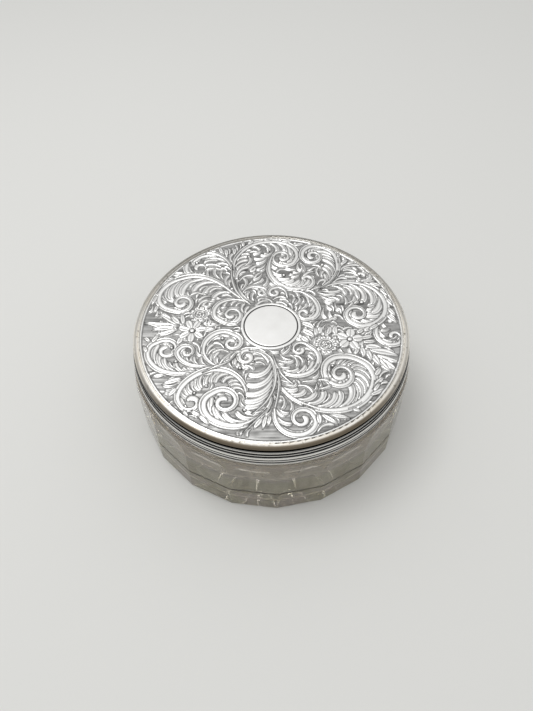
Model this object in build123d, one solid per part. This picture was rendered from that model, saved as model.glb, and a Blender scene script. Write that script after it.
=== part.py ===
"""Powder jar: a panel-cut glass bowl with a lift-off silver lid.

Millimetres. +Z is up and the origin is the centre of the glass base, where the jar stands.
One STEP file is written for each separate piece:

    glass_jar     thick-walled bowl, cut in flat panels, with a round neck and a star-cut base
    lid_plate     the flat top plate of the lid
    lid_border    the sloping border that holds the plate's edge
    lid_skirt     the plain sheet cylinder that slips over the glass neck
    lid_reeding   the moulded strip that is soldered round the skirt
"""

from build123d import *

import math
import os

# Driving dimensions
LID_RADIUS = 57.0  # outside of the border
PANELS = 20  # flat cuts round the glass
PANEL_TURN = 1.5  # degrees from the +X axis to the first corner
SHOULDER_HEIGHT = 35.2  # top of the cut body, where the lid rests
SHOULDER_RADIUS = 58.9  # flat of a panel at the shoulder
FOOT_RADIUS = 60.2  # flat of a panel at the foot
NECK_RADIUS = 54.6
NECK_HEIGHT = 9.0
MOUTH_RADIUS = 50.0
FLOOR_HEIGHT = 14.5  # inside floor above the table
SHEET = 0.7  # thickness of the silver sheet
SEAT_GAP = 0.1  # between the lid's lower edge and the glass shoulder
NECK_CLEARANCE = 0.3
SOLDER = 0.02  # between silver pieces that are joined

# Glass body
PANEL_FADE = 11.0  # height over which the panel tops arch into the round shoulder
MITRE_HEIGHT = 13.6  # the fine V-cut that runs round the panels
MITRE_DEPTH = 0.45
MITRE_HALF_WIDTH = 0.55
FOOT_CHAMFER = 0.7
SHOULDER_CHAMFER = 0.5
CAVITY_DRAFT = 1.0  # the cavity is narrower at its floor by this much
CAVITY_CORNER = 5.0
LIP_ROUND = 1.2
CORNER_OVER_FLAT = 1 / math.cos(math.pi / PANELS)

# Star cut under the base
STAR_RAYS = 20
STAR_RADIUS = 44.0
STAR_WIDEST = 13.0  # radius where each ray is widest and deepest
STAR_HEART = 3.0
STAR_DEPTH = 0.7
STAR_HALF_WIDTH = 1.3
FOOT_RING_INNER = 50.0
FOOT_RING_RISE = 0.6

# Moulding round the lid. It flares a little towards the glass.
FOOT_BAND = (1.9, 58.1)  # height, radius
REEDS = ((1.5, 57.95), (2.4, 58.1), (1.2, 57.6))  # (height, crest radius), from the lowest up
REED_DEPTH = 0.7  # from a reed's crest in to the valleys on each side
TOP_BAND = (1.3, 57.2)
RECESS = 1.0  # the dark line between the moulding and the border
RECESS_RADIUS = 55.9

# Lid top. The border slopes down and out from a fine bead beside the plate.
BORDER_WIDTH = 2.7
BORDER_LOW = 0.55  # from the border's underside up to its widest line
BORDER_HEIGHT = 2.0
BORDER_BULGE = 0.28  # how far the sloping face swells past a straight line
BORDER_BEAD = 0.8  # width of the bead
BORDER_GRIP = 0.8  # the plate's edge is let into the border by this much
PLATE_THICKNESS = 0.8
PLATE_RISE = 0.3  # the plate is slightly domed

LID_BOTTOM = SHOULDER_HEIGHT + SEAT_GAP
MOULDING_TOP = LID_BOTTOM + FOOT_BAND[0] + sum(reed[0] for reed in REEDS) + TOP_BAND[0]
BORDER_BOTTOM = MOULDING_TOP + RECESS
SKIRT_INNER = NECK_RADIUS + NECK_CLEARANCE
SKIRT_OUTER = SKIRT_INNER + SHEET
BORDER_INNER = LID_RADIUS - BORDER_WIDTH
PLATE_RADIUS = BORDER_INNER + BORDER_GRIP
PLATE_BOTTOM = BORDER_BOTTOM + 0.4
PLATE_TOP = PLATE_BOTTOM + PLATE_THICKNESS


def point(radius, height):
    return Vector(radius, 0, height)


def path(*points):
    """Straight edges through (radius, height) points, left open."""
    corners = [point(*p) for p in points]
    return [Line(a, b) for a, b in zip(corners, corners[1:])]


def turned(edges):
    """The solid made by closing an outline and turning it round the Z axis."""
    last = edges[-1] @ 1
    first = edges[0] @ 0
    closed = edges if (last - first).length < 1e-6 else edges + [Line(last, first)]
    return revolve(make_face(Wire(closed)), Axis.Z)


def panel_prism(flat_low, flat_high, low, high):
    """A many-sided prism that tapers from one flat radius to another."""
    sides = []
    for flat, height in ((flat_low, low), (flat_high, high)):
        around = RegularPolygon(flat * CORNER_OVER_FLAT, PANELS, rotation=PANEL_TURN)
        sides.append(Plane.XY.offset(height) * around)
    return loft(Sketch() + sides)


def flat_at(height):
    """Flat radius of the panels at a height."""
    share = height / SHOULDER_HEIGHT
    return FOOT_RADIUS + (SHOULDER_RADIUS - FOOT_RADIUS) * share


def round_blank():
    """The round body before the panels are cut: it meets the flats at the shoulder."""
    fade = SHOULDER_HEIGHT - PANEL_FADE
    full = flat_at(0) * CORNER_OVER_FLAT + 1
    corner = flat_at(fade) * CORNER_OVER_FLAT + 0.1
    top = SHOULDER_RADIUS - 0.1
    edges = path((0, 0), (full, 0), (corner, fade))
    shoulder = point(top, SHOULDER_HEIGHT - SHOULDER_CHAMFER)
    middle = point(top + 0.62 * (corner - top), SHOULDER_HEIGHT - 0.45 * PANEL_FADE)
    edges.append(ThreePointArc(edges[-1] @ 1, middle, shoulder))
    edges += path(
        (top, SHOULDER_HEIGHT - SHOULDER_CHAMFER),
        (top - SHOULDER_CHAMFER, SHOULDER_HEIGHT),
        (0, SHOULDER_HEIGHT),
    )
    return turned(edges)


def mitre_cut():
    """The V-cut ring: two shallow tapered rings of panels meeting at a line."""
    flat = flat_at(MITRE_HEIGHT)
    low = MITRE_HEIGHT - MITRE_HALF_WIDTH
    high = MITRE_HEIGHT + MITRE_HALF_WIDTH
    ring = turned(path((0, low), (flat + 5, low), (flat + 5, high), (0, high)))
    below = panel_prism(flat_at(low), flat - MITRE_DEPTH, low, MITRE_HEIGHT)
    above = panel_prism(flat - MITRE_DEPTH, flat_at(high), MITRE_HEIGHT, high)
    return ring - below - above


def star_ray():
    """One ray: a long low wedge, deepest where it is widest."""
    heart = Vector(STAR_HEART, 0, 0)
    tip = Vector(STAR_RADIUS, 0, 0)
    ridge = Vector(STAR_WIDEST, 0, STAR_DEPTH)
    left = Vector(STAR_WIDEST, STAR_HALF_WIDTH, 0)
    right = Vector(STAR_WIDEST, -STAR_HALF_WIDTH, 0)
    corners = [
        (heart, left, ridge),
        (heart, ridge, right),
        (tip, ridge, left),
        (tip, right, ridge),
        (heart, right, tip, left),
    ]
    return Solid(Shell([Face(Wire(Polyline(*c, close=True).edges())) for c in corners]))


def cavity():
    """The bowl's inside, with a slight draft, a round corner at the floor and a soft lip."""
    top = SHOULDER_HEIGHT + NECK_HEIGHT
    floor_radius = MOUTH_RADIUS - CAVITY_DRAFT
    edges = path((0, FLOOR_HEIGHT), (floor_radius - CAVITY_CORNER, FLOOR_HEIGHT))
    bend = 1 - math.sqrt(0.5)
    edges.append(
        ThreePointArc(
            edges[-1] @ 1,
            point(floor_radius - bend * CAVITY_CORNER, FLOOR_HEIGHT + bend * CAVITY_CORNER),
            point(floor_radius, FLOOR_HEIGHT + CAVITY_CORNER),
        )
    )
    edges.append(Line(edges[-1] @ 1, point(MOUTH_RADIUS, top - LIP_ROUND)))
    edges.append(
        ThreePointArc(
            edges[-1] @ 1,
            point(MOUTH_RADIUS + bend * LIP_ROUND, top - bend * LIP_ROUND),
            point(MOUTH_RADIUS + LIP_ROUND, top),
        )
    )
    edges += path((MOUTH_RADIUS + LIP_ROUND, top), (MOUTH_RADIUS + LIP_ROUND, top + 1), (0, top + 1))
    return turned(edges)


def glass_jar():
    top = SHOULDER_HEIGHT + NECK_HEIGHT
    body = panel_prism(FOOT_RADIUS, SHOULDER_RADIUS, 0, SHOULDER_HEIGHT)
    low_flat = FOOT_RADIUS - FOOT_CHAMFER
    body &= panel_prism(low_flat, low_flat + SHOULDER_HEIGHT, 0, SHOULDER_HEIGHT)
    body &= round_blank()
    body -= mitre_cut()
    neck = path(
        (0, SHOULDER_HEIGHT - 1),
        (NECK_RADIUS, SHOULDER_HEIGHT - 1),
        (NECK_RADIUS, top - 0.5),
        (NECK_RADIUS - 0.5, top),
        (0, top),
    )
    hollow_foot = path(
        (0, -1),
        (FOOT_RING_INNER + 1, -1),
        (FOOT_RING_INNER, FOOT_RING_RISE),
        (0, FOOT_RING_RISE),
    )
    jar = body + turned(neck) - cavity() - turned(hollow_foot)
    ray = Pos(0, 0, FOOT_RING_RISE - 0.01) * star_ray()
    for k in range(STAR_RAYS):
        jar -= Rot(0, 0, 360 * (k + 0.5) / STAR_RAYS + PANEL_TURN) * ray
    return jar


def dome(edge_height):
    """A shallow arc over the lid, from the axis out to the plate's edge."""
    sphere = (PLATE_RADIUS**2 + PLATE_RISE**2) / (2 * PLATE_RISE)
    half = math.asin(PLATE_RADIUS / sphere) / 2
    crown = edge_height + PLATE_RISE
    middle = point(sphere * math.sin(half), crown - sphere * (1 - math.cos(half)))
    return ThreePointArc(point(0, crown), middle, point(PLATE_RADIUS, edge_height))


def lid_plate():
    blank = path(
        (0, PLATE_BOTTOM - 1),
        (PLATE_RADIUS, PLATE_BOTTOM - 1),
        (PLATE_RADIUS, PLATE_TOP + 1),
        (0, PLATE_TOP + 1),
    )
    over = [dome(PLATE_TOP)] + path((PLATE_RADIUS, PLATE_TOP), (PLATE_RADIUS, 0), (0, 0))
    under = [dome(PLATE_BOTTOM)] + path((PLATE_RADIUS, PLATE_BOTTOM), (PLATE_RADIUS, 0), (0, 0))
    return (turned(blank) & turned(over)) - turned(under)


def lid_border():
    """A sloping face and a fine bead outside, with a groove inside that takes the plate's edge."""
    groove_radius = PLATE_RADIUS + SOLDER
    groove_top = PLATE_TOP + SOLDER
    groove_low = PLATE_BOTTOM - SOLDER
    inner_low = BORDER_INNER - 0.4
    edges = path(
        (BORDER_INNER, groove_top),
        (groove_radius, groove_top),
        (groove_radius, groove_low),
        (inner_low, groove_low),
        (inner_low, BORDER_BOTTOM),
        (LID_RADIUS - 0.5, BORDER_BOTTOM),
        (LID_RADIUS, BORDER_BOTTOM + BORDER_LOW),
    )
    widest = edges[-1] @ 1
    brow = point(BORDER_INNER + BORDER_BEAD, BORDER_BOTTOM + BORDER_HEIGHT)
    along = (brow - widest).normalized()
    swell = Vector(along.Z, 0, -along.X) * BORDER_BULGE
    edges.append(ThreePointArc(widest, (widest + brow) * 0.5 + swell, brow))
    valley = point(BORDER_INNER + BORDER_BEAD - 0.1, BORDER_BOTTOM + BORDER_HEIGHT - 0.22)
    crest = point(BORDER_INNER + 0.38, BORDER_BOTTOM + BORDER_HEIGHT - 0.05)
    edges.append(Line(brow, valley))
    edges.append(ThreePointArc(valley, crest, point(BORDER_INNER, groove_top + 0.3)))
    return turned(edges)


def lid_skirt():
    return turned(
        path(
            (SKIRT_INNER, LID_BOTTOM),
            (SKIRT_OUTER, LID_BOTTOM),
            (SKIRT_OUTER, BORDER_BOTTOM - SOLDER),
            (SKIRT_INNER, BORDER_BOTTOM - SOLDER),
        )
    )


def lid_reeding():
    """Plain bands at the foot and the top, with rounded reeds between them."""
    inner = SKIRT_OUTER + SOLDER
    foot_height, foot_radius = FOOT_BAND
    band_height, band_radius = TOP_BAND
    low = LID_BOTTOM + foot_height
    edges = path(
        (inner, LID_BOTTOM),
        (foot_radius - 0.2, LID_BOTTOM),
        (foot_radius, LID_BOTTOM + 0.2),
        (foot_radius, low - 0.3),
    )
    for height, crest in REEDS:
        start = point(crest - REED_DEPTH, low)
        edges.append(Line(edges[-1] @ 1, start))
        low += height
        end = point(crest - REED_DEPTH, low)
        edges.append(ThreePointArc(start, point(crest, low - height / 2), end))
    edges.append(Line(edges[-1] @ 1, point(band_radius, low + 0.25)))
    edges += path(
        (band_radius, low + 0.25),
        (band_radius, MOULDING_TOP - 0.15),
        (band_radius - 0.3, MOULDING_TOP),
        (RECESS_RADIUS, MOULDING_TOP),
        (RECESS_RADIUS, BORDER_BOTTOM - SOLDER),
        (inner, BORDER_BOTTOM - SOLDER),
    )
    return turned(edges)


PIECES = {
    "glass_jar": glass_jar,
    "lid_plate": lid_plate,
    "lid_border": lid_border,
    "lid_skirt": lid_skirt,
    "lid_reeding": lid_reeding,
}

os.makedirs("parts", exist_ok=True)
for name, make in PIECES.items():
    export_step(make(), f"parts/{name}.step")
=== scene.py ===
import math

import bpy
import numpy as np
from mathutils import Matrix, Vector


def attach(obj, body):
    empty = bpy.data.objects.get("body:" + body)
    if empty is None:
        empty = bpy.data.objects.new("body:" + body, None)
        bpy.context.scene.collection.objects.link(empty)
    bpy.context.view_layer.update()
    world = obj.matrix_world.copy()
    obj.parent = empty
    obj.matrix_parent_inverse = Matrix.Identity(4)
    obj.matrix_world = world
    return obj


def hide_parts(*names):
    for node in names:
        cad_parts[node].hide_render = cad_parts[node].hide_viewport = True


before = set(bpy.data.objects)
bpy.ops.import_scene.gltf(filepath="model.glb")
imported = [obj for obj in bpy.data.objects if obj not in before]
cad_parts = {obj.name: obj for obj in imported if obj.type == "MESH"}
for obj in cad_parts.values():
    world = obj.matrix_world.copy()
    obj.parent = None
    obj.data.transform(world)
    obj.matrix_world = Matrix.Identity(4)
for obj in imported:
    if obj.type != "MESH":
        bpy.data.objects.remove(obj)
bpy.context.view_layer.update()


# ---- camera, stage and light ----

LENS = 27.04
CAMERA_PLACE = Vector((0.0, -0.14275, 0.21671))
CAMERA_AIM = Vector((-0.001874, -0.015057, 0.0453))
CAMERA_ROLL = math.radians(1.353)


def add_camera():
    data = bpy.data.cameras.new("camera")
    data.lens = LENS
    data.sensor_width = 36.0
    data.sensor_fit = "AUTO"
    data.clip_start = 0.01
    camera = bpy.data.objects.new("camera", data)
    bpy.context.scene.collection.objects.link(camera)
    forward = (CAMERA_AIM - CAMERA_PLACE).normalized()
    right = forward.cross(Vector((0, 0, 1))).normalized()
    up = right.cross(forward)
    turn = Matrix.Rotation(CAMERA_ROLL, 3, forward)
    right = turn @ right
    up = turn @ up
    camera.matrix_world = Matrix(
        (
            (right.x, up.x, -forward.x, CAMERA_PLACE.x),
            (right.y, up.y, -forward.y, CAMERA_PLACE.y),
            (right.z, up.z, -forward.z, CAMERA_PLACE.z),
            (0, 0, 0, 1),
        )
    )
    bpy.context.scene.camera = camera


def add_floor():
    bpy.ops.mesh.primitive_plane_add(size=6.0, location=(0, 0, -0.0002))
    floor = bpy.context.object
    floor.name = "floor"
    material = bpy.data.materials.new("floor")
    material.use_nodes = True
    shader = material.node_tree.nodes["Principled BSDF"]
    shader.inputs["Base Color"].default_value = (0.70, 0.70, 0.685, 1)
    shader.inputs["Roughness"].default_value = 0.9
    shader.inputs["Specular IOR Level"].default_value = 0.1
    floor.data.materials.append(material)


def add_area_light(name, place, aim, size, power, color):
    data = bpy.data.lights.new(name, "AREA")
    data.shape = "RECTANGLE"
    data.size, data.size_y = size
    data.energy = power
    data.color = color
    light = bpy.data.objects.new(name, data)
    light.location = place
    direction = Vector(aim) - Vector(place)
    light.rotation_euler = direction.to_track_quat("-Z", "Y").to_euler()
    bpy.context.scene.collection.objects.link(light)


def add_world():
    """Soft light from all round, brighter overhead and greyer towards the horizon."""
    world = bpy.data.worlds.new("studio")
    bpy.context.scene.world = world
    world.use_nodes = True
    tree = world.node_tree
    background = tree.nodes["Background"]
    place = tree.nodes.new("ShaderNodeTexCoord")
    split = tree.nodes.new("ShaderNodeSeparateXYZ")
    ramp = tree.nodes.new("ShaderNodeValToRGB")
    tree.links.new(place.outputs["Generated"], split.inputs[0])
    tree.links.new(split.outputs["Z"], ramp.inputs["Fac"])
    stops = ramp.color_ramp.elements
    stops[0].position = 0.0
    stops[0].color = (0.34, 0.34, 0.335, 1)
    stops[1].position = 1.0
    stops[1].color = (1.0, 1.0, 0.99, 1)
    for where, level in ((0.30, 0.46), (0.62, 0.78), (0.82, 0.93)):
        stop = stops.new(where)
        stop.color = (level, level, level * 0.99, 1)
    tree.links.new(ramp.outputs["Color"], background.inputs["Color"])
    background.inputs["Strength"].default_value = 0.98


bpy.context.scene.view_settings.view_transform = "Standard"
add_camera()
add_floor()
add_world()
add_area_light("key", (-0.22, 0.10, 0.75), (0, 0, 0.03), (0.32, 0.32), 1.7, (1.0, 1.0, 0.99))


# ---- the chased design, in millimetres on the lid plate ----
#
# Two square maps cover the plate: the height of the relief, and how dark the silver is in the cuts.
# Each motif is a stroke: a path with a width, swept with a rounded section and a cut on each side.

CELL = 0.1
MAP_HALF = 56.0
MAP_SIZE = int(round(2 * MAP_HALF / CELL))
GROUND = -0.22  # height of the hatched ground below the plate's face
CARTOUCHE_RADIUS = 11.15
COLLAR_RADIUS = 11.85  # middle of the plain ring round the cartouche
COLLAR_OUTER = 12.55
COLLAR_LINE = 12.65  # the fine cut outside the collar
FIELD_RADIUS = 54.0
BEAD_EVERY = 9  # points of a line from one punched dot to the next
BEAD_SPAN = 3  # cells each side of a dot
BEAD_SIZE = 0.21
STROKE_STEP = 0.06

relief = np.full((MAP_SIZE, MAP_SIZE), GROUND)
dark = np.zeros((MAP_SIZE, MAP_SIZE))
covered = np.zeros((MAP_SIZE, MAP_SIZE), bool)
dice = np.random.default_rng(7)
scrolls = []


def curve(points):
    """Evenly spaced points on a smooth line through the given ones."""
    p = np.array(points, float)
    p = np.vstack([2 * p[0] - p[1], p, 2 * p[-1] - p[-2]])
    t = np.linspace(0, 1, 24, endpoint=False)[:, None]
    pieces = []
    for a, b, c, d in zip(p, p[1:], p[2:], p[3:]):
        pieces.append(
            0.5 * (2 * b + (c - a) * t + (2 * a - 5 * b + 4 * c - d) * t**2 + (3 * b - a - 3 * c + d) * t**3)
        )
    line = np.vstack(pieces + [p[-2:-1]])
    run = np.concatenate([[0], np.cumsum(np.linalg.norm(np.diff(line, axis=0), axis=1))])
    even = np.linspace(0, run[-1], max(8, int(run[-1] / STROKE_STEP)))
    return np.stack([np.interp(even, run, line[:, k]) for k in (0, 1)], 1)


def hook(start, heading, length, turn, late=1.6):
    """A line that sets off at a heading in degrees and turns more and more, by turn degrees in all."""
    n = max(8, int(length / STROKE_STEP))
    t = np.linspace(0, 1, n)
    angle = np.radians(heading + turn * t**late)
    steps = np.stack([np.cos(angle), np.sin(angle)], 1) * (length / (n - 1))
    return np.array(start) + np.vstack([[0, 0], np.cumsum(steps[:-1], axis=0)])


def spiral_points(start, eye, radius, turns, hand):
    """Points that wind in from start round an eye to a radius."""
    away = np.array(start, float) - np.array(eye, float)
    first = np.hypot(*away)
    n = max(4, int(turns * 16))
    t = np.arange(1, n + 1) / n
    angle = np.arctan2(away[1], away[0]) + hand * turns * 2 * np.pi * t
    r = radius + (first - radius) * (1 - t) ** 1.15
    return [(eye[0] + a * np.cos(b), eye[1] + a * np.sin(b)) for a, b in zip(r, angle)]


def directions(line):
    d = np.gradient(line, axis=0)
    return d / np.maximum(np.linalg.norm(d, axis=1), 1e-9)[:, None]


def sweep(line, width, section, cut=0.24):
    """Lays a stroke over what is there. width is the half-width at each point of the line, section gives
    (height, darkness) across it from -1 to 1, and a cut of a fixed width runs outside both edges."""
    across = directions(line)[:, ::-1] * np.array([-1, 1])
    width = np.maximum(np.broadcast_to(width, len(line)), 0.02)
    reach = width.max() + cut
    offsets = np.linspace(-reach, reach, int(2 * reach / 0.055) + 3)
    q = offsets[None, :] / width[:, None]
    beyond = (np.abs(offsets)[None, :] - width[:, None]) / cut
    height, tone = section(np.clip(q, -1, 1), width[:, None])
    shape = np.clip(width / 0.55, 0.25, 1.0)[:, None]
    inside = beyond <= 0
    cut_height = GROUND - 0.16 * np.sin(np.pi * np.clip(beyond, 0, 1)) ** 0.5
    cut_tone = 1.0 - 0.55 * np.clip(beyond, 0, 1)
    height = np.where(inside, GROUND + (height - GROUND) * shape, cut_height)
    tone = np.where(inside, tone, cut_tone)
    ok = beyond <= 1
    at = line[:, None, :] + across[:, None, :] * offsets[None, :, None]
    # The cuts go down first, so that a stroke's own inside always lies over its own cuts.
    for part in (ok & ~inside, ok & inside):
        column = np.round((at[..., 0][part] + MAP_HALF) / CELL).astype(int)
        row = np.round((at[..., 1][part] + MAP_HALF) / CELL).astype(int)
        fits = (column >= 0) & (row >= 0) & (column < MAP_SIZE) & (row < MAP_SIZE)
        column, row = column[fits], row[fits]
        relief[row, column] = height[part][fits]
        dark[row, column] = tone[part][fits]
        covered[row, column] = True


def rounded(q, width):
    """A plain half-round, a little darker towards its edges."""
    return 0.34 * np.sqrt(np.clip(1 - q**2, 0, 1)) + 0.02, 0.45 * np.abs(q) ** 4


def fluted(inner):
    """A ribbon's section: a narrow bead on its outer side, a fine cut, then a broad hollow flute."""

    def section(q, width):
        s = q * inner
        bead = np.sqrt(np.clip(1 - ((s + 0.68) / 0.32) ** 2, 0, 1))
        flute = np.sqrt(np.clip(1 - ((s - 0.34) / 0.68) ** 2, 0, 1))
        on_bead = s < -0.36
        height = np.where(on_bead, 0.30 * bead + 0.02, 0.36 * flute + 0.02)
        line = np.exp(-(((s + 0.36) * width / 0.11) ** 2))
        groove = np.exp(-(((s - 0.30) * width / 0.09) ** 2)) * (width > 0.75)
        height = height - 0.10 * line - 0.06 * groove
        return height, np.clip(0.95 * line + 0.30 * groove + 0.35 * np.abs(s) ** 6, 0, 1)

    return section


def lobed(side):
    """A lobe's section: one crest near an edge and a long slope to a fine cut along the other."""

    def section(q, width):
        s = q * side
        crest = np.exp(-(((s - 0.25) / 0.55) ** 2))
        line = np.exp(-(((s + 0.42) * width / 0.085) ** 2))
        height = 0.36 * crest - 0.11 * line
        return height, np.clip(0.85 * line + 0.35 * np.abs(s) ** 5, 0, 1)

    return section


def veined(q, width):
    """A leaf's section: two slopes that meet in a cut rib."""
    rib = np.exp(-((q * width / 0.10) ** 2))
    height = 0.10 + 0.24 * np.abs(q) ** 0.7 * (1 - 0.7 * q**4) - 0.08 * rib
    return height, np.clip(0.8 * rib + 0.3 * np.abs(q) ** 6, 0, 1)


def knob(x, y, radius, cut=0.22):
    """A round boss with a cut ring."""
    span = int((radius + cut) / CELL) + 2
    column = int(round((x + MAP_HALF) / CELL))
    row = int(round((y + MAP_HALF) / CELL))
    rows = slice(row - span, row + span + 1)
    columns = slice(column - span, column + span + 1)
    yy, xx = np.mgrid[-span : span + 1, -span : span + 1] * CELL
    r = np.hypot(xx, yy)
    boss = 0.06 + 0.34 * np.sqrt(np.clip(1 - (r / radius) ** 2, 0, 1))
    inside = r <= radius
    ring = (r > radius) & (r <= radius + cut)
    relief[rows, columns] = np.where(inside, boss, np.where(ring, GROUND - 0.12, relief[rows, columns]))
    tone = np.where(inside, 0.3 * (r / radius) ** 5, 0.95)
    dark[rows, columns] = np.where(inside | ring, tone, dark[rows, columns])
    covered[rows, columns] |= inside | ring


def comma(start, heading, length, turn, width=0.75, late=1.6, ball=0.0):
    """A lobe: it starts thin, swells, hooks over and ends round."""
    line = hook(start, heading, length, turn, late)
    t = np.linspace(0, 1, len(line))
    swell = 0.30 + 0.70 * np.sin(np.pi * 0.62 * t**1.2)
    half = width * swell * np.sqrt(np.clip((1 - t) * length / (1.3 * width), 0, 1))
    sweep(line, half, lobed(1 if turn > 0 else -1))
    if ball:
        knob(*line[-max(2, int(ball * 0.5 / STROKE_STEP))], ball)


def beads(line, start, end):
    """A row of punched dots along a line, between two shares of its length."""
    first, last = int(start * (len(line) - 1)), int(end * (len(line) - 1))
    for x, y in line[first:last:BEAD_EVERY]:
        column = int(round((x + MAP_HALF) / CELL))
        row = int(round((y + MAP_HALF) / CELL))
        yy, xx = np.mgrid[-BEAD_SPAN : BEAD_SPAN + 1, -BEAD_SPAN : BEAD_SPAN + 1] * CELL
        spot = np.clip(1.4 - np.hypot(xx, yy) / BEAD_SIZE, 0, 1)
        rows = slice(row - BEAD_SPAN, row + BEAD_SPAN + 1)
        columns = slice(column - BEAD_SPAN, column + BEAD_SPAN + 1)
        relief[rows, columns] -= 0.14 * spot
        dark[rows, columns] = np.maximum(dark[rows, columns], spot)


def scroll(points, eye, knob_radius, turns, hand, width, lobes=(), dots=()):
    """A ribbon through the points that then winds in round an eye. hand is 1 for anticlockwise.
    lobes are (from, to, count, length, turn, width, side): side 1 is inside the curl, -1 outside."""
    winding = spiral_points(points[-1], eye, knob_radius * 0.5, turns + 0.25, hand)
    line = curve(list(points) + winding)
    t = np.linspace(0, 1, len(line))
    swell = 0.30 + 0.70 * np.clip(t / 0.35, 0, 1) ** 0.8
    half = width * swell * (1 - 0.45 * np.clip((t - 0.6) / 0.3, 0, 1))
    left = (1 - t) * len(line) * STROKE_STEP
    head = np.clip(1 - left / (4.2 * knob_radius), 0, 1)
    half = half + (0.78 * knob_radius - half) * head**1.5
    half = half * np.sqrt(np.clip(left / (0.9 * knob_radius), 0, 1))
    ahead = directions(line)
    across = ahead[:, ::-1] * np.array([-1, 1])
    for first, last, count, length, turn, lobe_width, side in lobes:
        for n, share in enumerate(np.linspace(last, first, count)):
            k = int(share * (len(line) - 1))
            start = line[k] + across[k] * hand * side * half[k] * 0.3
            heading = np.degrees(np.arctan2(ahead[k][1], ahead[k][0]))
            middle = 1 - abs(2 * (n + 0.5) / count - 1)
            grow = 0.72 + 0.5 * middle + 0.10 * dice.standard_normal()
            comma(
                start,
                heading + hand * side * 20,
                length * grow,
                hand * side * turn * (1 + 0.08 * dice.standard_normal()),
                lobe_width * (0.85 + 0.3 * middle),
                ball=0.62 * lobe_width if n % 5 == 2 and side > 0 else 0,
            )
    flute = fluted(hand)
    body = head < 0.12
    sweep(line[body], half[body], flute)
    sweep(line[~body], half[~body], rounded)
    for first, last in dots:
        beads(line, first, last)
    scrolls.append((line[::8], ahead[::8], hand))


def fill(spacing, length, width, turn, room, keep_clear):
    """Fills the gaps between the scrolls with small lobes that follow the nearest ribbon round."""
    places = np.vstack([line for line, _, _ in scrolls])
    ways = np.vstack([ahead for _, ahead, _ in scrolls])
    hands = np.concatenate([np.full(len(line), hand) for line, _, hand in scrolls])
    steps = np.arange(-FIELD_RADIUS, FIELD_RADIUS, spacing)
    spots = np.array([(x, y) for x in steps for y in steps])
    spots = spots + dice.uniform(-0.4, 0.4, (len(steps) ** 2, 2)) * spacing
    dice.shuffle(spots)
    for spot in spots:
        r = np.hypot(*spot)
        if r > FIELD_RADIUS - 2.2 or r < CARTOUCHE_RADIUS + 2.2:
            continue
        if any(np.hypot(spot[0] - x, spot[1] - y) < clear for x, y, clear in keep_clear):
            continue
        k = np.argmin(((places - spot) ** 2).sum(1))
        inward = ways[k][0] * (spot - places[k])[1] - ways[k][1] * (spot - places[k])[0]
        side = hands[k] if inward * hands[k] > 0 else -hands[k]
        heading = np.degrees(np.arctan2(ways[k][1], ways[k][0])) + side * dice.uniform(5, 30)
        size = length * dice.uniform(0.8, 1.25)
        line = hook(spot, heading, size, side * turn, 1.5)
        line = line - (line[len(line) // 2] - spot)
        column = np.clip(np.round((line[:, 0] + MAP_HALF) / CELL).astype(int), 2, MAP_SIZE - 3)
        row = np.clip(np.round((line[:, 1] + MAP_HALF) / CELL).astype(int), 2, MAP_SIZE - 3)
        if covered[row, column].mean() > room or np.hypot(*line[-1]) > FIELD_RADIUS - 1:
            continue
        comma(line[0], heading, size, side * turn, width * dice.uniform(0.85, 1.15), 1.5)


def ribbon(points, width, hand=1, taper=(0.25, 1.0, 0.3)):
    """A free band that swells from its start and dies away at its end."""
    line = curve(points)
    t = np.linspace(0, 1, len(line))
    half = width * np.interp(t, [0, 0.4, 1], taper)
    sweep(line, half, fluted(hand))


def leaf(base, tip, width, bend=0.0):
    """A pointed leaf with a cut rib, from its base to its tip."""
    a, b = np.array(base, float), np.array(tip, float)
    side = np.array([-(b - a)[1], (b - a)[0]])
    line = curve([a, (a + b) / 2 + side * bend, b])
    t = np.linspace(0, 1, len(line))
    half = width * np.sin(np.pi * np.clip(t * 0.94 + 0.06, 0, 1) ** 0.85) ** 0.9
    sweep(line, half, veined)


def flower(x, y, petals, reach, petal_width, turn, eye):
    for k in range(petals):
        a = math.radians(turn + 360 * k / petals)
        base = (x + 0.25 * reach * math.cos(a), y + 0.25 * reach * math.sin(a))
        tip = (x + reach * math.cos(a), y + reach * math.sin(a))
        line = curve([base, ((base[0] + tip[0]) / 2, (base[1] + tip[1]) / 2), tip])
        t = np.linspace(0, 1, len(line))
        half = petal_width * np.sqrt(np.clip(np.sin(np.pi * (0.12 + 0.88 * t) ** 1.3), 0, 1))
        sweep(line, half, veined, cut=0.2)
    knob(x, y, eye)


def ring(x, y, radius, width):
    a = np.linspace(0, 2 * np.pi, int(2 * np.pi * radius / 0.05))
    line = np.stack([x + radius * np.cos(a), y + radius * np.sin(a)], 1)
    sweep(line, np.full(len(line), width), rounded, cut=0.2)


def rosette(x, y, radius, petals):
    """A small round flower: a frill of petals, a rolled collar, and a curled heart."""
    for k in range(petals):
        a = 2 * math.pi * k / petals
        out = (x + radius * math.cos(a), y + radius * math.sin(a))
        leaf((x + 0.45 * radius * math.cos(a), y + 0.45 * radius * math.sin(a)), out, 0.23 * radius)
    ring(x, y, 0.52 * radius, 0.09 * radius)
    for k in range(5):
        start = (x + 0.40 * radius * math.cos(1.257 * k), y + 0.40 * radius * math.sin(1.257 * k))
        comma(start, 72 * k + 100, 0.62 * radius, 130, 0.11 * radius)
    knob(x, y, 0.12 * radius, 0.15)


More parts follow.
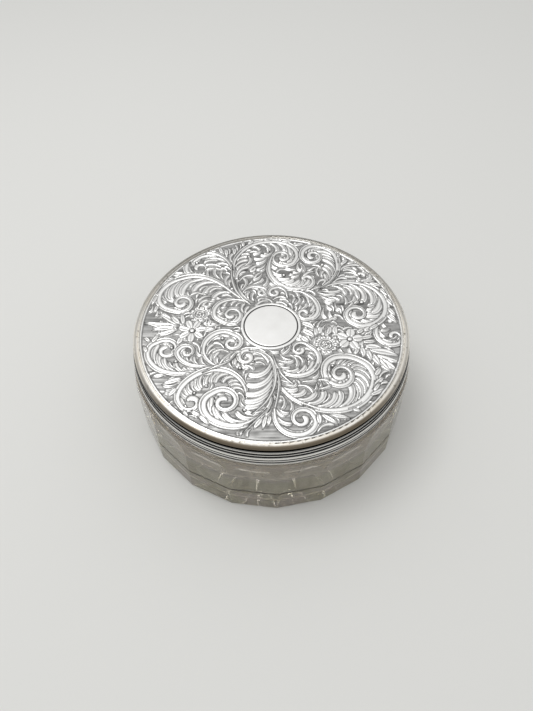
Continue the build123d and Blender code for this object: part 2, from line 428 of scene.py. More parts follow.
# Over the top, from the left stem round to the volute behind the cartouche, and what grows inside it.
scroll(
    [
        (-14.2, 22), (-16.6, 30), (-16.6, 38), (-14.2, 44), (-9.6, 49), (-4, 51.6), (3, 52), (8.6, 50),
        (12, 46), (12.8, 41.5), (11, 37.2),
    ],
    (5.8, 40.9), 1.5, 1.2, -1, 1.35,
    [(0.3, 0.66, 9, 11.0, 120, 1.15, 1), (0.04, 0.26, 6, 8.5, 85, 0.95, 1)],
    [(0.2, 0.26)],
)
# Upper left, small.
scroll(
    [
        (-17.0, 32.5), (-18.4, 37), (-21.4, 41.4), (-25.6, 44.3), (-30, 45.2), (-34.6, 43.4),
        (-37.9, 39.6), (-38.5, 35.2),
    ],
    (-32.3, 34.2), 1.7, 0.9, 1, 1.3,
    [(0.38, 0.66, 4, 9.0, 80, 1.0, 1), (0.04, 0.36, 6, 12.5, 110, 1.15, 1)],
    [],
)
# Left, large.
scroll(
    [
        (-10.2, 13.9), (-15, 17.6), (-19.8, 22.6), (-24.2, 26.2), (-29, 28.6), (-34.6, 29.5),
        (-39.8, 28.4), (-44.6, 25.6), (-47.8, 21.6), (-49, 17.4), (-48.2, 13.4), (-45.2, 10.2),
        (-41.4, 8.6),
    ],
    (-38.4, 13.3), 1.8, 1.15, 1, 1.5,
    [
        (0.46, 0.74, 7, 9.5, 75, 1.0, 1), (0.08, 0.48, 9, 15.5, 120, 1.35, 1),
        (0.24, 0.5, 3, 6.5, 80, 0.8, -1),
    ],
    [(0.36, 0.42), (0.66, 0.7)],
)
# Left of the cartouche.
scroll(
    [(-9.2, 12.9), (-13.4, 14.6), (-18, 14.6), (-22, 12.8), (-24.2, 9.2), (-23.8, 5.2), (-20.8, 2.5)],
    (-16.7, 6.2), 1.6, 1.1, 1, 1.15,
    [(0.08, 0.55, 7, 7.5, 100, 0.85, 1)],
    [],
)
# Lower left, at the edge.
scroll(
    [
        (-23.6, -21.6), (-29, -23), (-34.6, -24), (-39.8, -23.6), (-45, -21.4), (-48.6, -17.6),
        (-50, -13.4), (-48.8, -9.6), (-45.6, -7.6),
    ],
    (-42.3, -12.2), 1.8, 0.95, -1, 1.3,
    [
        (0.52, 0.72, 4, 7.5, 75, 0.9, 1), (0.08, 0.52, 9, 12.0, 92, 1.05, 1),
        (0.2, 0.42, 3, 5.5, 60, 0.8, -1),
    ],
    [],
)
# Lower left, small, inside the last.
scroll(
    [(-22.4, -20.8), (-27.4, -20.6), (-32, -19.8), (-36, -17.2), (-37.9, -13.6), (-36.6, -11)],
    (-33.9, -13.4), 1.2, 0.8, -1, 1.05,
    [(0.06, 0.6, 7, 7.5, 100, 0.85, 1)],
    [],
)
# Left of centre, beside the cartouche.
scroll(
    [
        (-21.8, -20.6), (-25, -17.8), (-27.3, -13.6), (-27.2, -9.2), (-25.2, -5.6), (-21.8, -3.3),
        (-18, -3), (-14.8, -4.6),
    ],
    (-15.9, -9), 1.5, 0.95, -1, 1.25,
    [(0.36, 0.66, 4, 9.0, 75, 0.9, 1), (0.04, 0.38, 6, 9.5, 95, 0.95, 1)],
    [],
)
# The big C at lower left, which ends in a ball.
scroll(
    [
        (-9.2, -37.6), (-9.4, -33), (-11, -28.4), (-13.8, -24.9), (-17.8, -22.5), (-23, -21.9),
        (-28.2, -23.6), (-32.8, -27.2), (-35.4, -31.4), (-35.8, -35.6), (-33.8, -39),
    ],
    (-30.4, -36.9), 2.1, 0.62, 1, 1.4,
    [
        (0.62, 0.82, 5, 9.0, 60, 0.85, 1), (0.06, 0.62, 14, 9.0, 120, 0.9, 1),
        (0.5, 0.7, 4, 5.5, 60, 0.8, -1),
    ],
    [(0.36, 0.44)],
)
# The spiral inside it, fed by the stem at the bottom.
scroll(
    [
        (0.2, -34.5), (-0.8, -38.4), (-3.6, -42.8), (-7.6, -45.9), (-12.2, -47.5), (-17, -47.1),
        (-21.8, -45), (-24.9, -41.8), (-26, -38), (-25, -34.8), (-22, -32.4),
    ],
    (-17.9, -37), 1.8, 1.05, -1, 1.5,
    [(0.46, 0.76, 7, 8.5, 75, 0.95, 1), (0.08, 0.46, 8, 12.5, 100, 1.1, 1)],
    [(0.18, 0.24)],
)
# Under the cartouche, left of the stem.
scroll(
    [(1.2, -31), (1.0, -25), (-0.2, -19.6), (-2.2, -15.6), (-5.4, -13), (-9.2, -12.5)],
    (-9.8, -16.4), 1.8, 0.85, 1, 1.3,
    [(0.3, 0.76, 8, 10.5, 115, 0.95, 1)],
    [],
)
# Under the cartouche, right of the stem.
scroll(
    [
        (0.6, -15), (1.8, -20.4), (4.8, -24), (9, -25.5), (13.8, -24.8), (17.5, -21.8), (19, -17.4),
        (18, -13.4), (15, -10.6),
    ],
    (11.5, -12.8), 1.3, 0.85, 1, 1.15,
    [(0.44, 0.72, 5, 7.0, 80, 0.8, 1), (0.08, 0.44, 7, 9.5, 100, 0.9, 1)],
    [(0.44, 0.5)],
)
# The great scroll at lower right.
scroll(
    [
        (2.4, -25), (3.2, -30), (6.6, -34.8), (11, -38), (16.2, -40.4), (21.8, -41.4), (27.4, -40.8),
        (32.4, -38.6), (36.4, -35), (39, -30.4), (39.8, -25.6), (38, -20.8), (34.2, -17.8),
        (29.8, -16.4), (25, -16.8), (21.6, -19.4), (20.4, -23.2), (21, -27),
    ],
    (26.8, -25), 1.8, 1.3, 1, 1.5,
    [
        (0.54, 0.8, 10, 6.5, 70, 0.9, 1), (0.04, 0.54, 16, 13.0, 112, 1.25, 1),
        (0.34, 0.55, 4, 6, 60, 0.8, -1),
    ],
    [(0.14, 0.2), (0.29, 0.34), (0.4, 0.44)],
)
# Bottom, right of the stem.
scroll(
    [
        (1.2, -36.5), (0.8, -41), (1.4, -45.8), (3.6, -49.2), (7.2, -51.2), (11.6, -51.2), (15, -49),
        (16.5, -45.6), (15, -42.2),
    ],
    (11, -44.7), 1.7, 0.9, 1, 1.25,
    [(0.4, 0.7, 5, 6.5, 75, 0.85, 1), (0.04, 0.42, 7, 11.5, 85, 0.95, 1)],
    [],
)
# Right edge.
scroll(
    [(48.4, 5.4), (45.8, 2), (43.6, -1.6), (43, -5.6), (44.6, -9), (47.8, -11), (51, -10.6)],
    (50.2, -6.6), 1.4, 0.6, 1, 1.15,
    [(0.08, 0.6, 6, 8.0, 85, 0.85, 1)],
    [],
)
# Right, large.
scroll(
    [
        (20.4, 20.2), (25, 22.6), (31, 24.2), (37, 24.3), (42.2, 22.8), (46.6, 19.4), (49, 14.6),
        (49.4, 9.6), (48, 5), (45, 1.4), (41, -0.8), (37, -1), (33.4, 1.2),
    ],
    (36.5, 5.7), 1.8, 1.1, -1, 1.5,
    [(0.46, 0.74, 8, 9.0, 80, 1.0, 1), (0.06, 0.46, 10, 15.0, 118, 1.3, 1)],
    [(0.3, 0.35), (0.52, 0.58)],
)
# Upper right, small.
scroll(
    [(30.4, 29.4), (32, 33), (35.4, 35.2), (39.4, 35.6), (42.8, 34.2), (45, 31.2), (44.8, 27.8)],
    (41.1, 28.3), 1.4, 0.8, -1, 1.1,
    [(0.06, 0.6, 6, 8.0, 100, 0.85, 1)],
    [],
)
# Upper right, tall.
scroll(
    [
        (18, 20), (23.6, 22.4), (27.8, 26.6), (30.2, 31), (31, 36), (30.6, 40.6), (28.9, 44.4),
        (25.6, 47.4), (21.6, 48.7), (17.8, 48), (15.2, 45.2), (14.6, 41.4), (16.2, 38.2),
    ],
    (19.7, 41.4), 1.7, 0.95, 1, 1.4,
    [(0.46, 0.74, 6, 8.5, 75, 0.95, 1), (0.06, 0.46, 10, 12.5, 105, 1.15, 1)],
    [(0.14, 0.2), (0.3, 0.33)],
)
# Between the last and the first: a bowl of lobes that opens upward.
scroll(
    [(0.9, 42), (-0.5, 37), (-0.6, 31.4), (1.4, 26.6), (5, 22.6), (9.8, 20.4), (14.6, 20.8)],
    (15.4, 26.2), 1.5, 0.5, 1, 1.4,
    [(0.08, 0.72, 9, 10.5, 100, 1.1, 1)],
    [(0.66, 0.74)],
)
# Right of the cartouche.
scroll(
    [(9.8, 19.6), (14, 18.6), (17.8, 15.6), (20, 11.6), (20.3, 7.4), (18.2, 4), (14.6, 3)],
    (14.3, 6.3), 1.4, 0.6, -1, 1.15,
    [(0.0, 0.66, 8, 8.0, 75, 1.0, 1)],
    [],
)
# Behind the cartouche.
scroll(
    [(-13, 17.4), (-10.6, 21.2), (-7, 22.6), (-3.6, 22)],
    (-3.9, 18.8), 1.3, 0.75, -1, 0.95,
    [(0.05, 0.7, 5, 5.6, 80, 0.8, 1)],
    [],
)
scroll(
    [(7.4, 15.6), (6.6, 19.4), (4, 21.9), (1.2, 21.4)],
    (1.8, 18.6), 1.3, 0.75, 1, 0.95,
    [(0.05, 0.7, 4, 4.6, 80, 0.7, 1)],
    [],
)
# The small curl inside the top scroll.
scroll(
    [(-14.6, 23.6), (-15.2, 29), (-13.6, 33.2), (-10.4, 34.8)],
    (-8.6, 33.1), 1.2, 0.6, -1, 1.0,
    [(0.05, 0.7, 5, 6.6, 85, 0.8, 1)],
    [],
)

# Lobes down the left of the stem, and the small leaves that fill between the scrolls.
for x, y, heading, length, turn, width in (
    (0.0, -33.0, 240, 13, -78, 1.15), (0.8, -29.2, 246, 15, -88, 1.25),
    (1.3, -25.2, 252, 16, -98, 1.35), (1.1, -21.0, 258, 16, -110, 1.35),
    (0.4, -17.0, 262, 14.5, -118, 1.3), (-20.6, -19.6, 62, 9, -60, 0.95),
    (-18.6, -18.2, 50, 8, -55, 0.9), (-16.4, -16.8, 60, 6, -50, 0.8), (-10.5, 37.5, 200, 7, 70, 0.9),
    (-4.6, 36, 190, 6.5, 80, 0.9), (-3.4, 31.5, 200, 6, 80, 0.8), (-13.6, 26.4, 60, 8, -110, 0.9),
    (20.6, 18.6, -35, 9, 85, 0.9), (21.2, 17, -50, 8.5, 80, 0.9), (22.4, 19.4, -20, 9, 60, 0.8),
    (22.6, 9.6, 250, 7, 80, 0.9), (25.2, 9.4, 255, 7, 70, 0.9), (21.6, 1.8, 10, 7, 30, 0.8),
    (23.4, 12.6, -80, 6, 60, 0.8), (27.6, 12.6, -95, 6, 60, 0.8), (21.4, 34.6, 200, 6, 60, 0.9),
    (19.6, 31.6, 190, 6, 60, 0.9), (12.6, 32.8, 190, 6.5, -60, 0.85), (-26.4, -24.6, 0, 4, 40, 0.6),
    (16.6, -27.8, 15, 6, -50, 0.8), (11, -28.2, -5, 7, 35, 0.8), (17.2, -31.6, 0, 6, 40, 0.7),
    (31.2, 17.6, -60, 7, -60, 0.8), (-29.6, 18.6, 160, 6, 80, 0.8), (-26.4, 17.4, 190, 6, 60, 0.8),
    (-25.6, 14.8, 200, 5, 60, 0.7), (-22.2, 35.4, 150, 8, 60, 0.9), (-21.4, 33.4, 160, 8, 50, 0.85),
    (-24, 39.6, 170, 7, 60, 0.85), (32.4, 28.6, -20, 7, 50, 0.8), (33.4, 30.6, 0, 7, -60, 0.7),
):
    comma((x, y), heading, length, turn, width)
# Small lobes in what is left, except where the plain hatched ground shows.
HATCHED = (
    (-9, 30, 4.2), (-34, 21, 3.0), (-41.5, -17.6, 2.6), (-51, 4, 5), (-51.4, -4, 4), (8, 32, 3.2),
    (24, 6, 3.4), (29.6, 12, 2.6), (-26, -32.6, 2.6), (-2, -49, 5.5), (26, -34, 2.6), (45, -20, 4),
    (-22, 50, 5), (36, 42, 4), (30, 1.6, 3.0), (51, -17, 3.4), (-43, -28.4, 3.6), (-45, 33, 4),
    (52, -1, 4), (40, -15.6, 3),
)
fill(1.5, 6.2, 0.85, 95, 0.16, HATCHED)
fill(1.3, 3.8, 0.7, 80, 0.2, HATCHED)
# Stems and strands.
ribbon([(-8.6, 12.2), (-12.4, 16), (-15.6, 22), (-17.2, 29), (-17.4, 36)], 0.8, 1)
ribbon([(-6.6, 13.2), (-10.8, 15.6), (-14, 21), (-15.4, 27)], 0.6, -1)
ribbon(
    [
        (-8.8, -12.8), (-4.6, -13.5), (-0.8, -16.2), (1.2, -21), (1.5, -26), (0.4, -32), (-2.6, -37.6),
        (-7.4, -42.4),
    ],
    0.75, 1,
)
ribbon([(0.8, -15.4), (2.2, -20.4), (4.6, -25.4), (8.8, -29.6)], 0.7, -1)
ribbon([(2.3, -22), (3.1, -28), (2.5, -34), (1.3, -40)], 0.6, -1, (0.3, 1.0, 0.6))
ribbon([(-1.6, -40), (-4.6, -43.6), (-8.2, -47.4), (-10.6, -50)], 0.36, 1, (0.5, 1.0, 0.3))
ribbon([(21, 20.6), (25.6, 24.2), (29, 28), (30.8, 32)], 0.6, 1)
ribbon([(-27, -23.6), (-23, -21.4), (-17, -18.4), (-13.4, -14)], 0.55, 1)

# The flowers and their sprays.
for base, tip, width, bend in (
    ((-40.6, 0.8), (-53.2, 2.7), 1.45, 0.05), ((-39.6, 1.6), (-47.6, 7.2), 1.35, -0.05),
    ((-38.4, 1.8), (-42.4, 6.2), 1.1, 0.0), ((-36.6, 1.8), (-37.8, 7.4), 1.0, 0.0),
    ((-40.4, -0.6), (-49.6, -1.7), 1.35, -0.05), ((-39.6, -1.8), (-48.0, -4.4), 1.2, 0.05),
    ((-27.6, -1.0), (-20.4, 0.8), 1.2, 0.1), ((-28.4, 1.6), (-21.6, 1.2), 1.0, -0.1),
    ((-27.4, -2.8), (-22.6, -1.6), 0.9, 0.05), ((-36.8, -5.6), (-38.2, -9.4), 1.2, 0.05),
    ((-18.6, 0.4), (-13.2, 0.2), 0.9, 0.08), ((-25.4, 3.6), (-26.4, 0.4), 0.8, 0.08),
    ((35.6, -4.4), (38.4, -2.4), 1.0, 0.0), ((38.6, -3.0), (42.4, -2.6), 1.0, 0.1),
    ((37, -7.2), (42, -6.2), 1.0, 0.0), ((37.4, -9.2), (43, -9), 0.9, 0.0),
    ((38.2, -11.4), (45.2, -13.2), 1.3, 0.08), ((40.4, -13.6), (50.8, -16.4), 1.5, 0.05),
    ((42, -16.2), (51, -19.4), 1.4, -0.05), ((43.6, -18.2), (49.2, -23.6), 1.4, 0.0),
    ((42.2, -17.4), (46.6, -24.2), 1.25, -0.05), ((40.4, -15.4), (42.8, -21.2), 1.15, 0.0),
    ((38.6, -13.4), (39.6, -18.6), 1.1, 0.0), ((36.4, -12), (36.8, -16.8), 1.1, 0.05),
    ((34.8, -12.6), (33.4, -15.6), 0.9, 0.0), ((13, 1.2), (18.2, -2.4), 1.25, 0.1),
    ((13, -2.8), (17.8, -6.8), 1.35, 0.1), ((12.4, -6.2), (15.6, -9.2), 1.1, 0.0),
    ((20.2, -4.6), (21, -0.6), 1.1, 0.1), ((23.2, -5), (24.4, -0.4), 1.1, -0.1),
    ((26.6, -5), (27.2, -0.2), 1.1, 0.1), ((18.6, -5.4), (18.4, -1), 0.9, 0.0),
):
    leaf(base, tip, width, bend)
flower(-32.6, -2.2, 7, 6.0, 1.4, 10, 1.0)
rosette(-29.9, 6.8, 4.6, 9)
rosette(22.4, -10.4, 4.9, 10)
flower(32.1, -7.7, 5, 5.4, 1.9, 80, 1.0)

# Small leaves round the edge.
for base, tip, width in (
    ((-22.4, 44.4), (-24, 49), 0.95), ((-20, 43), (-20.8, 47.6), 0.95),
    ((-16.8, 43.6), (-16.2, 48), 0.9), ((-12.4, 49.2), (-13, 53), 0.8),
    ((-10.2, 50.2), (-7.4, 53.4), 0.9), ((-25, 45.4), (-29, 47.2), 0.85), ((-3, 52.6), (1, 53.2), 0.5),
    ((5.6, 52.2), (10.6, 51.9), 0.85), ((11.4, 49), (16.4, 50.2), 0.9),
    ((24.6, 48.4), (29.4, 45.4), 0.8), ((31.6, 40.4), (31.6, 44), 0.7),
    ((32.4, 36), (35.8, 39.2), 0.95), ((35, 36.4), (39.4, 37.4), 0.75), ((40, 25.4), (47, 25.2), 0.8),
    ((43.8, 24), (49.6, 21.6), 0.9), ((48, 20.6), (51.6, 15.6), 1.0), ((50, 14.6), (52.6, 9.8), 0.9),
    ((50, 9), (52.6, 4.6), 0.9), ((49, 5.2), (52.8, 0.6), 0.9), ((-38.6, 31.2), (-45, 31.6), 0.75),
    ((-43.2, 28.6), (-48, 25.8), 0.8), ((-49.6, 18), (-51.4, 12.4), 0.8),
    ((-48.6, 12), (-49.6, 8), 0.8), ((-49.6, -7.6), (-52.4, -5), 0.8), ((-48.6, -8), (-46.2, -4), 0.9),
    ((-50.2, -13), (-52, -9.4), 0.7), ((-42, -24.4), (-46.6, -25.2), 0.95),
    ((-35, -26.2), (-42.4, -28.8), 1.05), ((-36.4, -30.6), (-39.4, -34.4), 0.9),
    ((-30, -41), (-26, -43), 0.8), ((-33, -40.6), (-30.8, -43.4), 0.7),
    ((-27, -42.6), (-22.8, -46.8), 0.8), ((-3.6, -44.2), (-6.8, -48.6), 0.95),
    ((-2, -43), (-3.4, -48.8), 0.8), ((-0.6, -43), (-1.4, -47.6), 0.7),
    ((17.2, -42.6), (17.6, -47), 0.95), ((18.4, -42.8), (24.4, -47), 0.95),
    ((22, -43), (29, -44.4), 0.85), ((30, -40.6), (33.4, -41.6), 0.7),
    ((37.6, -34.6), (43.8, -31.4), 0.95), ((39.6, -30), (43.6, -26.2), 0.95),
    ((40.4, -25.6), (43, -21.8), 0.95), ((39, -32.6), (41.8, -28.8), 0.7),
    ((44.6, 0), (40.4, -2.8), 0.8),
):
    leaf(base, tip, width)


def soften(field, times):
    for _ in range(times):
        field = (np.roll(field, 1, 0) + 2 * field + np.roll(field, -1, 0)) / 4
        field = (np.roll(field, 1, 1) + 2 * field + np.roll(field, -1, 1)) / 4
    return field


def smooth_noise(rows, columns, seed):
    """Soft random values over the map, from a coarse grid of that many rows and columns."""
    coarse = np.random.default_rng(seed).uniform(-1, 1, (rows + 2, columns + 2))
    y = np.linspace(0, rows, MAP_SIZE)
    x = np.linspace(0, columns, MAP_SIZE)
    yi, xi = y.astype(int), x.astype(int)
    yf, xf = (y - yi)[:, None], (x - xi)[None, :]
    yf, xf = yf * yf * (3 - 2 * yf), xf * xf * (3 - 2 * xf)
    a, b = coarse[yi][:, xi], coarse[yi][:, xi + 1]
    c, d = coarse[yi + 1][:, xi], coarse[yi + 1][:, xi + 1]
    return (a * (1 - xf) + b * xf) * (1 - yf) + (c * (1 - xf) + d * xf) * yf


def finish_maps():
    """Hatches the ground, then lays down the cartouche and the line round the field."""
    global relief, dark
    line = np.arange(MAP_SIZE) * CELL - MAP_HALF
    x, y = np.meshgrid(line, line)
    r = np.hypot(x, y)
    wander = 0.35 * smooth_noise(9, 7, 3)
    hatch = 0.5 + 0.5 * np.sin(2 * np.pi * (y + wander) / 0.62)
    broken = smooth_noise(150, 16, 5)
    ground_tone = 0.38 + 0.36 * hatch * (0.6 + 0.4 * broken) + 0.16 * smooth_noise(170, 12, 8)
    dark = np.where(covered, dark, np.clip(ground_tone, 0, 1))
    relief = np.where(covered, relief, GROUND - 0.05 * hatch + 0.02 * broken)
    worn = smooth_noise(60, 60, 11)
    relief = soften(relief, 2)
    dark = soften(dark, 1) * (1 + 0.12 * worn)

    cut = np.exp(-(((r - CARTOUCHE_RADIUS) / 0.24) ** 2))
    collar = (r > CARTOUCHE_RADIUS) & (r < COLLAR_OUTER)
    edge = np.exp(-(((r - COLLAR_LINE) / 0.16) ** 2))
    relief = np.where(r < CARTOUCHE_RADIUS, 0.0, relief)
    dark = np.where(r < CARTOUCHE_RADIUS, 0.0, dark)
    relief = np.where(collar, 0.12 * np.sqrt(np.clip(1 - ((r - COLLAR_RADIUS) / 0.75) ** 2, 0, 1)), relief)
    dark = np.where(collar, 0.02, dark)
    relief = relief - 0.16 * cut - 0.10 * edge
    dark = np.maximum(dark, np.maximum(1.2 * cut, 0.7 * edge))

    rim_line = np.exp(-(((r - FIELD_RADIUS + 0.1) / 0.3) ** 2))
    outside = r > FIELD_RADIUS - 0.5
    relief = np.where(outside, -0.05 + 0.22 * rim_line, relief)
    dark = np.where(outside, 0.35 - 0.3 * rim_line, dark)
    dark = np.maximum(dark, 0.7 * np.exp(-(((r - FIELD_RADIUS + 0.7) / 0.2) ** 2)))


finish_maps()


# ---- the lid's top plate as a mesh ----

PLATE_RADIUS = 55.1
PLATE_LOW = 45.0
PLATE_HIGH = 45.8
PLATE_RISE = 0.3
TOP_CELLS = 480
UNDER_CELLS = 160


def disc_grid(cells, radius):
    """An even square grid pressed into a disc: its rows, columns and rim are all smooth."""
    t = np.linspace(-1, 1, cells + 1)
    a, b = np.meshgrid(t, t)
    wide = np.abs(a) >= np.abs(b)
    safe_a = np.where(a == 0, 1e-12, a)
    safe_b = np.where(b == 0, 1e-12, b)
    r = np.where(wide, a, b)
    angle = np.where(wide, (np.pi / 4) * (b / safe_a), np.pi / 2 - (np.pi / 4) * (a / safe_b))
    return radius * r * np.cos(angle), radius * r * np.sin(angle)


def read_map(field, x, y):
    """Bilinear value of a map at points in millimetres."""
    u = np.clip((x + MAP_HALF) / CELL, 0, MAP_SIZE - 1.001)
    v = np.clip((y + MAP_HALF) / CELL, 0, MAP_SIZE - 1.001)
    ui, vi = u.astype(int), v.astype(int)
    uf, vf = u - ui, v - vi
    low = field[vi, ui] * (1 - uf) + field[vi, ui + 1] * uf
    high = field[vi + 1, ui] * (1 - uf) + field[vi + 1, ui + 1] * uf
    return low * (1 - vf) + high * vf


def dome(x, y):
    sphere = (PLATE_RADIUS**2 + PLATE_RISE**2) / (2 * PLATE_RISE)
    return PLATE_RISE - (sphere - np.sqrt(sphere**2 - x**2 - y**2))


def rim_indices(cells):
    """Indices round the edge of a square grid of points, anticlockwise from its low corner."""
    n = cells + 1
    low = list(range(0, n - 1))
    right = [n - 1 + n * k for k in range(0, n - 1)]
    high = [n * n - 1 - k for k in range(0, n - 1)]
    left = [n * (n - 1) - n * k for k in range(0, n - 1)]
    return low + right + high + left


def grid_faces(cells, first, flip):
    n = cells + 1
    k = (np.arange(cells)[:, None] * n + np.arange(cells)[None, :]).ravel() + first
    quads = np.stack([k, k + 1, k + n + 1, k + n], 1)
    return quads[:, ::-1] if flip else quads


def mesh_object(name, vertices, faces):
    mesh = bpy.data.meshes.new(name)
    mesh.from_pydata([tuple(v) for v in vertices], [], [tuple(f) for f in faces])
    mesh.update()
    mesh.shade_smooth()
    thing = bpy.data.objects.new(name, mesh)
    bpy.context.scene.collection.objects.link(thing)
    return thing


def build_chased_plate():
    x, y = disc_grid(TOP_CELLS, PLATE_RADIUS)
    height = read_map(relief, x, y)
    tone = read_map(dark, x, y)
    r = np.hypot(x, y)
    height = height * np.clip((FIELD_RADIUS + 0.25 - r) / 0.35, 0, 1)
    z = PLATE_HIGH + dome(x, y) + height
    top = np.stack([x.ravel(), y.ravel(), z.ravel()], 1)
    ux, uy = disc_grid(UNDER_CELLS, PLATE_RADIUS)
    pressed = np.where(np.hypot(ux, uy) > PLATE_RADIUS - 0.9, 0.0, read_map(soften(relief, 8), ux, uy))
    uz = PLATE_LOW + dome(ux, uy) + 0.25 * pressed
    under = np.stack([ux.ravel(), uy.ravel(), uz.ravel()], 1)
    faces = [tuple(f) for f in grid_faces(TOP_CELLS, 0, False)]
    faces += [tuple(f) for f in grid_faces(UNDER_CELLS, len(top), True)]
    upper = rim_indices(TOP_CELLS)
    lower = [k + len(top) for k in rim_indices(UNDER_CELLS)]
    step = TOP_CELLS // UNDER_CELLS
    for k in range(len(lower)):
        a, b = lower[k], lower[(k + 1) % len(lower)]
        along = [upper[(k * step + j) % len(upper)] for j in range(step, -1, -1)]
        faces.append((a, b, *along))
    plate = mesh_object("chased_plate", np.vstack([top, under]) / 1000, faces)
    attribute = plate.data.attributes.new("tone", "FLOAT", "POINT")
    values = np.concatenate([tone.ravel(), np.full(len(under), 0.25)]).astype(np.float32)
    attribute.data.foreach_set("value", values)
    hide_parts("lid_plate")
    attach(plate, "lid")
    return plate


# ---- materials ----

MITRE_LINE = 0.01335  # height of the fine cut that runs round the panels, in metres
# Painted shade, near black, in the grooves of the moulding and the deep gap under the border: (height,
# half-width) in millimetres
SHADED_GROOVES = ((37.2, 0.30), (38.7, 0.34), (41.1, 0.36), (42.3, 0.32), (44.15, 0.75))


class Nodes:
    """Short names for building a material's node tree."""

    def __init__(self, name):
        self.material = bpy.data.materials.new(name)
        self.material.use_nodes = True
        self.tree = self.material.node_tree
        self.shader = self.tree.nodes["Principled BSDF"]

    def add(self, kind, inputs=(), **settings):
        node = self.tree.nodes.new(kind)
        for key, value in settings.items():
            setattr(node, key, value)
        for key, value in dict(inputs).items():
            if isinstance(value, bpy.types.NodeSocket):
                self.tree.links.new(value, node.inputs[key])
            else:
                node.inputs[key].default_value = value
        return node

    def attribute(self, name):
        return self.add("ShaderNodeAttribute", attribute_name=name, attribute_type="GEOMETRY").outputs["Fac"]

    def noise(self, scale, detail=4.0, stretch=(1, 1, 1), rough=0.5):
        place = self.add("ShaderNodeTexCoord").outputs["Object"]
        mapped = self.add("ShaderNodeMapping", {"Vector": place, "Scale": stretch}).outputs["Vector"]
        settings = {"Vector": mapped, "Scale": scale, "Detail": detail, "Roughness": rough}
        return self.add("ShaderNodeTexNoise", settings).outputs["Fac"]

    def ramp(self, value, *stops):
        node = self.add("ShaderNodeValToRGB", {"Fac": value})
        elements = node.color_ramp.elements
        elements[0].position, elements[0].color = stops[0][0], stops[0][1]
        elements[1].position, elements[1].color = stops[-1][0], stops[-1][1]
        for where, color in stops[1:-1]:
            elements.new(where).color = color
        return node.outputs["Color"]

    def math(self, operation, a, b=0.0, clamp=False):
        return self.add("ShaderNodeMath", {0: a, 1: b}, operation=operation, use_clamp=clamp).outputs[0]

    def between(self, value, low, high):
        """0 at low rising to 1 at high, which may lie either way round."""
        return self.math("DIVIDE", self.math("SUBTRACT", value, low), high - low, clamp=True)

    def mix(self, share, a, b, blend="MIX"):
        node = self.add("ShaderNodeMix", data_type="RGBA", blend_type=blend)
        for socket, value in ((node.inputs[0], share), (node.inputs[6], a), (node.inputs[7], b)):
            if isinstance(value, bpy.types.NodeSocket):
                self.tree.links.new(value, socket)
            else:
                socket.default_value = value
        return node.outputs[2]

    def set(self, name, value):
        if isinstance(value, bpy.types.NodeSocket):
            self.tree.links.new(value, self.shader.inputs[name])
        else:
            self.shader.inputs[name].default_value = value

    def bump(self, height, strength, distance):
        node = self.add("ShaderNodeBump", {"Height": height, "Strength": strength, "Distance": distance})
        self.tree.links.new(node.outputs["Normal"], self.shader.inputs["Normal"])


def grey(level, warm=0.0):
    return (level, level * (1 - 0.3 * warm), level * (1 - warm), 1)


def chased_silver():
    n = Nodes("chased_silver")
    tone = n.attribute("tone")
    mottle = n.noise(140.0, 5.0)
    clean = n.ramp(mottle, (0.3, grey(0.88, 0.02)), (0.7, grey(0.94, 0.01)))
    deep = n.ramp(n.noise(420.0, 3.0), (0.3, grey(0.02, 0.06)), (0.75, grey(0.07, 0.05)))
    share = n.ramp(tone, (0.09, grey(0.0)), (0.45, grey(0.64)), (0.78, grey(1.0)))
    n.set("Base Color", n.mix(share, clean, deep))
    n.set("Metallic", 1.0)
    rough = n.math("MULTIPLY_ADD", tone, 0.30)
    rough.node.inputs[2].default_value = 0.27
    n.set("Roughness", n.math("ADD", rough, n.math("MULTIPLY", mottle, 0.08)))
    scratches = n.noise(900.0, 2.0, (1, 6, 1))
    n.bump(scratches, 0.10, 0.0001)
    return n.material


def border_silver():
    n = Nodes("border_silver")
    mottle = n.noise(90.0, 6.0)
    fine = n.noise(600.0, 4.0)
    worn = (0.96, 0.94, 0.90, 1)
    dull = (0.92, 0.88, 0.81, 1)
    stained = (0.82, 0.76, 0.66, 1)
    warm = n.ramp(mottle, (0.32, worn), (0.55, dull), (0.75, stained))
    speck = n.ramp(fine, (0.60, grey(1.0)), (0.72, grey(0.45, 0.1)))
    warm = n.mix(1.0, warm, speck, "MULTIPLY")
    place = n.add("ShaderNodeTexCoord").outputs["Object"]
    split = n.add("ShaderNodeSeparateXYZ", {"Vector": place})
    # Mottled worn silver on top; painted shade darkens the lower face at the front and greys the back half,
    # and a painted shadow, near black, fills the underside.
    painted_front_shade = n.between(split.outputs["Y"], -0.012, -0.046)
    low = n.between(split.outputs["Z"], 0.0465, 0.0462)
    warm = n.mix(n.math("MULTIPLY", painted_front_shade, low), warm, (0.24, 0.20, 0.15, 1))
    # Painted shade: the back half of the border is greyed.
    painted_back_shade = n.between(split.outputs["Y"], -0.005, 0.040)
    warm = n.mix(n.math("MULTIPLY", painted_back_shade, 0.7), warm, (0.30, 0.295, 0.28, 1))
    # Painted shadow, near black, on the underside of the border.
    under = n.between(split.outputs["Z"], 0.0452, 0.0448)
    n.set("Base Color", n.mix(under, warm, grey(0.02)))
    n.set("Metallic", 1.0)
    n.set("Roughness", n.math("ADD", n.math("MULTIPLY", mottle, 0.25), 0.20))
    n.bump(fine, 0.12, 0.0002)
    return n.material


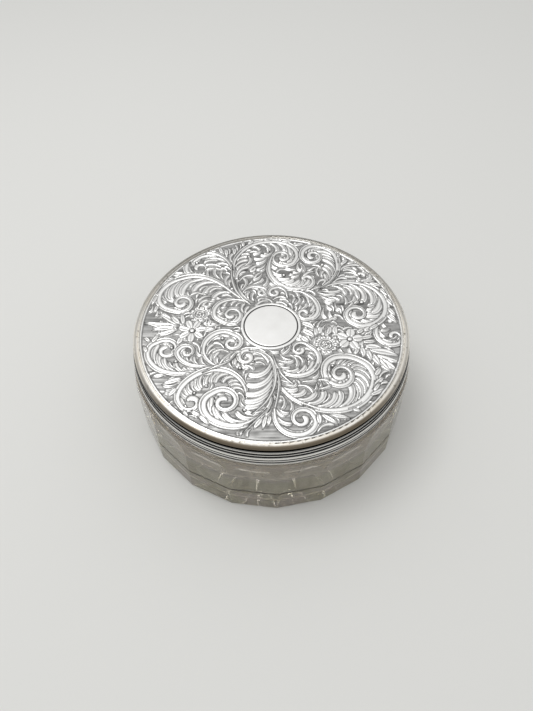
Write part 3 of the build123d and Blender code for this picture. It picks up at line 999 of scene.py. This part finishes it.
def plain_silver(name, grooves=()):
    """Polished silver, with painted shade, near black, in any grooves: (height, half-width) pairs in
    millimetres.
    """
    n = Nodes(name)
    mottle = n.noise(120.0, 5.0, (1, 1, 5))
    color = n.ramp(mottle, (0.3, grey(0.74, 0.06)), (0.7, grey(0.86, 0.03)))
    if grooves:
        place = n.add("ShaderNodeTexCoord").outputs["Object"]
        height = n.add("ShaderNodeSeparateXYZ", {"Vector": place}).outputs["Z"]
        # Painted shade, near black, in each groove.
        for middle, half in grooves:
            away = n.math("ABSOLUTE", n.math("SUBTRACT", height, middle / 1000))
            groove_shade = n.math("SUBTRACT", 1.9, n.math("DIVIDE", away, 0.75 * half / 1000), clamp=True)
            color = n.mix(groove_shade, color, grey(0.012))
    n.set("Base Color", color)
    n.set("Metallic", 1.0)
    n.set("Roughness", n.math("ADD", n.math("MULTIPLY", mottle, 0.16), 0.10))
    n.bump(n.noise(700.0, 3.0), 0.06, 0.0001)
    return n.material


def cut_glass():
    n = Nodes("cut_glass")
    place = n.add("ShaderNodeTexCoord").outputs["Object"]
    height = n.add("ShaderNodeSeparateXYZ", {"Vector": place}).outputs["Z"]
    patch = n.ramp(n.noise(70.0, 4.0), (0.46, grey(0.0)), (0.56, grey(1.0)))
    streak = n.ramp(n.noise(260.0, 3.0, (1, 1, 0.35)), (0.45, grey(0.0)), (0.62, grey(1.0)))
    # Mauve above, olive in the thick glass of the base, and a pinker foot.
    olive = n.between(height, 0.0245, 0.0225)
    color = n.mix(olive, (0.93, 0.865, 0.79, 1), (1.0, 0.96, 0.76, 1))
    color = n.mix(n.math("MULTIPLY", olive, n.math("MULTIPLY", streak, 0.8)), color, (0.62, 0.56, 0.40, 1))
    foot = n.math("MULTIPLY", n.between(height, 0.012, 0.011), patch)
    color = n.mix(foot, color, (1.0, 0.90, 0.83, 1))
    # A painted highlight just above the mitre cut, and painted shade, dark grey, along the cut itself.
    cut = n.math("SUBTRACT", height, MITRE_LINE)
    light = n.between(n.math("ABSOLUTE", n.math("SUBTRACT", cut, 0.00075)), 0.00035, 0.00015)
    color = n.mix(light, color, (1.0, 0.99, 0.95, 1))
    line = n.between(n.math("ABSOLUTE", cut), 0.00042, 0.00022)
    n.set("Base Color", n.mix(line, color, grey(0.30, 0.1)))
    n.set("Transmission Weight", 0.85)
    n.set("IOR", 1.52)
    smear = n.noise(60.0, 5.0)
    n.set("Roughness", n.ramp(smear, (0.35, grey(0.0)), (0.8, grey(0.05))))
    n.bump(n.noise(120.0, 3.0), 0.05, 0.0006)
    return n.material


def dress(node, material):
    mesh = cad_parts[node].data
    mesh.materials.clear()
    mesh.materials.append(material)


plate = build_chased_plate()
plate.data.materials.append(chased_silver())
dress("lid_border", border_silver())
dress("lid_skirt", plain_silver("skirt_silver"))
dress("lid_reeding", plain_silver("reeded_silver", SHADED_GROOVES))
dress("glass_jar", cut_glass())
